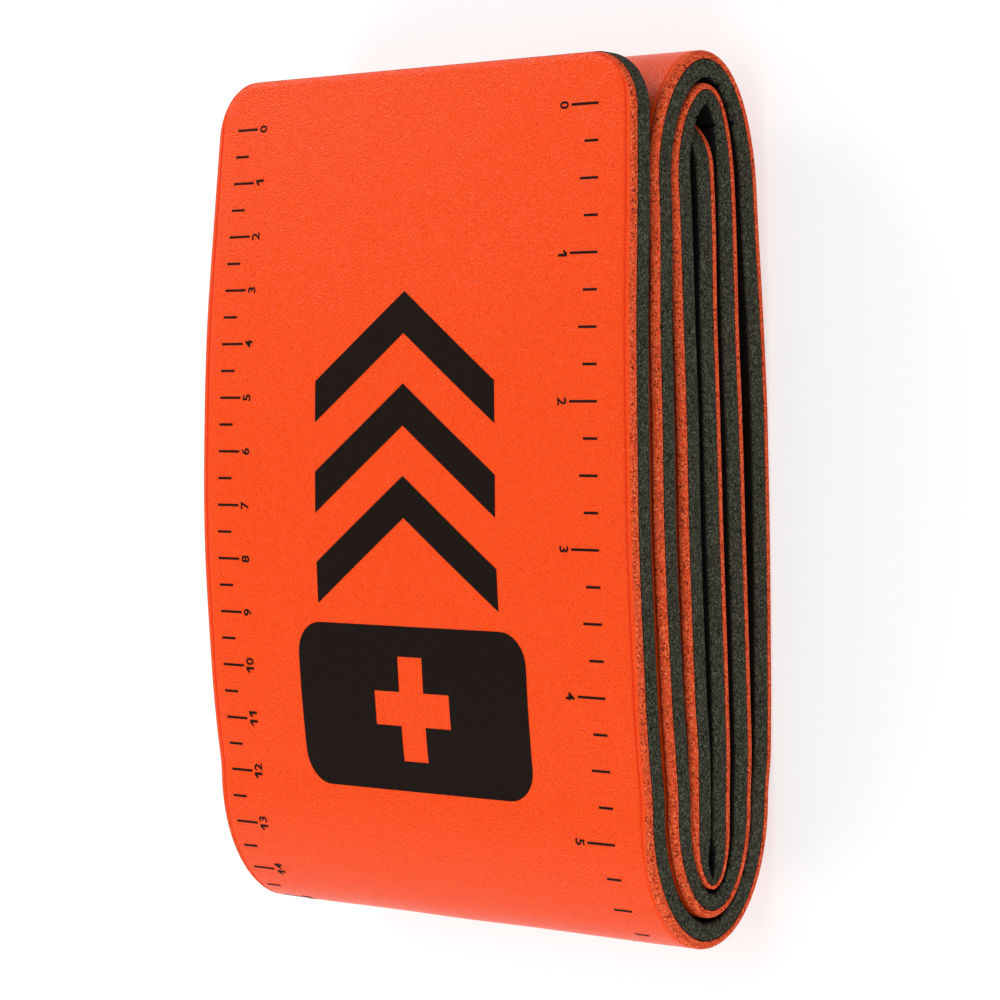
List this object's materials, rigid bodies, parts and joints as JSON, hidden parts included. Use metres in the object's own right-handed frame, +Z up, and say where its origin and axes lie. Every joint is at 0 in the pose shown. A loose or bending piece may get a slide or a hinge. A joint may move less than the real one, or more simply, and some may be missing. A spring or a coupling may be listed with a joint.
{
  "type": "folded aluminium foam splint",
  "caption": "Padded splint strip rolled flat into a pack: thin aluminium sheet sealed between a printed orange foam face and a thicker charcoal foam, with centimetre and inch rulers.",
  "frame": {"origin": "centre of the folded pack on the surface it lies on", "axes": "+X across the strip, +Y along the pack towards the strip's loose end, +Z up out of the printed face"},
  "size_m": [0.11, 0.155, 0.0363],
  "materials": {
    "outer_foam": "closed-cell foam with a finely grained satin skin",
    "aluminium_core": "soft rolled sheet",
    "inner_foam": "matt closed-cell foam with open cells on its cut edges",
    "black_print": "matt screen-printed ink"
  },
  "bodies": {
    "root": {"outer_foam": "outer_foam", "aluminium_core": "aluminium_core", "inner_foam": "inner_foam"}
  },
  "joints": []
}
